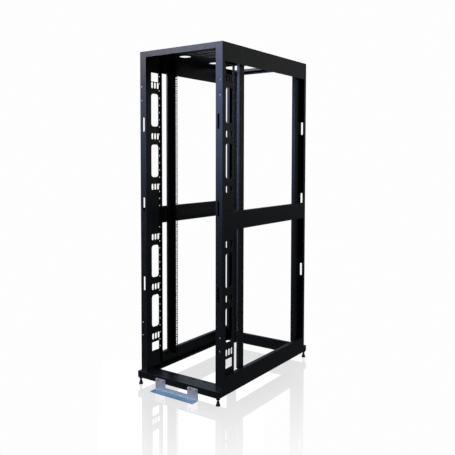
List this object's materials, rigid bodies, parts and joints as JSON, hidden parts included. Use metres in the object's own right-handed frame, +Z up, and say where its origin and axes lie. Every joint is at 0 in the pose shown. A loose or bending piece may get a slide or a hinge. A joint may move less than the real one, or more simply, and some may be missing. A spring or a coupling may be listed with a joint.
{
  "type": "server rack cabinet",
  "caption": "Tall open-frame 19-inch server rack cabinet with U-section posts, punched mounting rails, cable panels, slotted roof, levelling feet and a floor bracket.",
  "frame": {"origin": "on the floor, under the middle of the whole outline including the floor bracket", "axes": "+Z up, the front faces -Y, +X to the right seen from the front"},
  "size_m": [0.6, 1.125, 2.018],
  "materials": {
    "frame_coat": "satin black powder coat",
    "rail_coat": "satin black powder coat",
    "zinc": "bright zinc plating with a faint blue tint",
    "foot_steel": "black plated steel"
  },
  "bodies": {
    "frame": {"front_plinth": "frame_coat", "rear_plinth": "frame_coat", "front_sill": "frame_coat", "rear_sill": "frame_coat", "rear_cross_member": "frame_coat", "base_beam_right": "frame_coat", "base_beam_left": "frame_coat", "mid_beam_right": "frame_coat", "mid_beam_left": "frame_coat", "top_beam_right": "frame_coat", "top_beam_left": "frame_coat", "front_top_beam": "frame_coat", "rear_top_beam": "frame_coat", "roof_panel": "frame_coat", "front_post_right": "frame_coat", "front_post_left": "frame_coat", "rear_post_right": "frame_coat", "rear_post_left": "frame_coat", "cable_panel_right": "frame_coat", "cable_panel_left": "frame_coat", "front_foot_stem_right": "foot_steel", "front_foot_nut_right": "foot_steel", "front_foot_stem_left": "foot_steel", "front_foot_nut_left": "foot_steel", "rear_foot_stem_right": "foot_steel", "rear_foot_nut_right": "foot_steel", "rear_foot_stem_left": "foot_steel", "rear_foot_nut_left": "foot_steel", "floor_bracket": "zinc", "bracket_bolt_1": "zinc", "bracket_bolt_2": "zinc", "bracket_bolt_3": "zinc", "bracket_bolt_4": "zinc"},
    "front_rail_right": {"front_rail_right": "rail_coat"},
    "front_rail_left": {"front_rail_left": "rail_coat"},
    "rear_rail_right": {"rear_rail_right": "rail_coat"},
    "rear_rail_left": {"rear_rail_left": "rail_coat"},
    "front_foot_pad_right": {"front_foot_pad_right": "foot_steel"},
    "front_foot_pad_left": {"front_foot_pad_left": "foot_steel"},
    "rear_foot_pad_right": {"rear_foot_pad_right": "foot_steel"},
    "rear_foot_pad_left": {"rear_foot_pad_left": "foot_steel"}
  },
  "joints": [
    {"name": "front_rail_right_slide", "type": "slide", "parent": "frame", "child": "front_rail_right", "axis": [0, 1, 0], "range_m": [-0.04, 0.15]},
    {"name": "front_rail_left_slide", "type": "slide", "parent": "frame", "child": "front_rail_left", "axis": [0, 1, 0], "range_m": [-0.04, 0.15]},
    {"name": "rear_rail_right_slide", "type": "slide", "parent": "frame", "child": "rear_rail_right", "axis": [0, 1, 0], "range_m": [-0.275, 0.008]},
    {"name": "rear_rail_left_slide", "type": "slide", "parent": "frame", "child": "rear_rail_left", "axis": [0, 1, 0], "range_m": [-0.275, 0.008]},
    {"name": "front_foot_pad_right_swivel", "type": "hinge", "parent": "frame", "child": "front_foot_pad_right", "pos_m": [0.287, -0.4945, 0.008], "axis": [0, 0, 1], "continuous": true},
    {"name": "front_foot_pad_left_swivel", "type": "hinge", "parent": "frame", "child": "front_foot_pad_left", "pos_m": [-0.287, -0.4945, 0.008], "axis": [0, 0, 1], "continuous": true},
    {"name": "rear_foot_pad_right_swivel", "type": "hinge", "parent": "frame", "child": "rear_foot_pad_right", "pos_m": [0.287, 0.5495, 0.008], "axis": [0, 0, 1], "continuous": true},
    {"name": "rear_foot_pad_left_swivel", "type": "hinge", "parent": "frame", "child": "rear_foot_pad_left", "pos_m": [-0.287, 0.5495, 0.008], "axis": [0, 0, 1], "continuous": true}
  ]
}
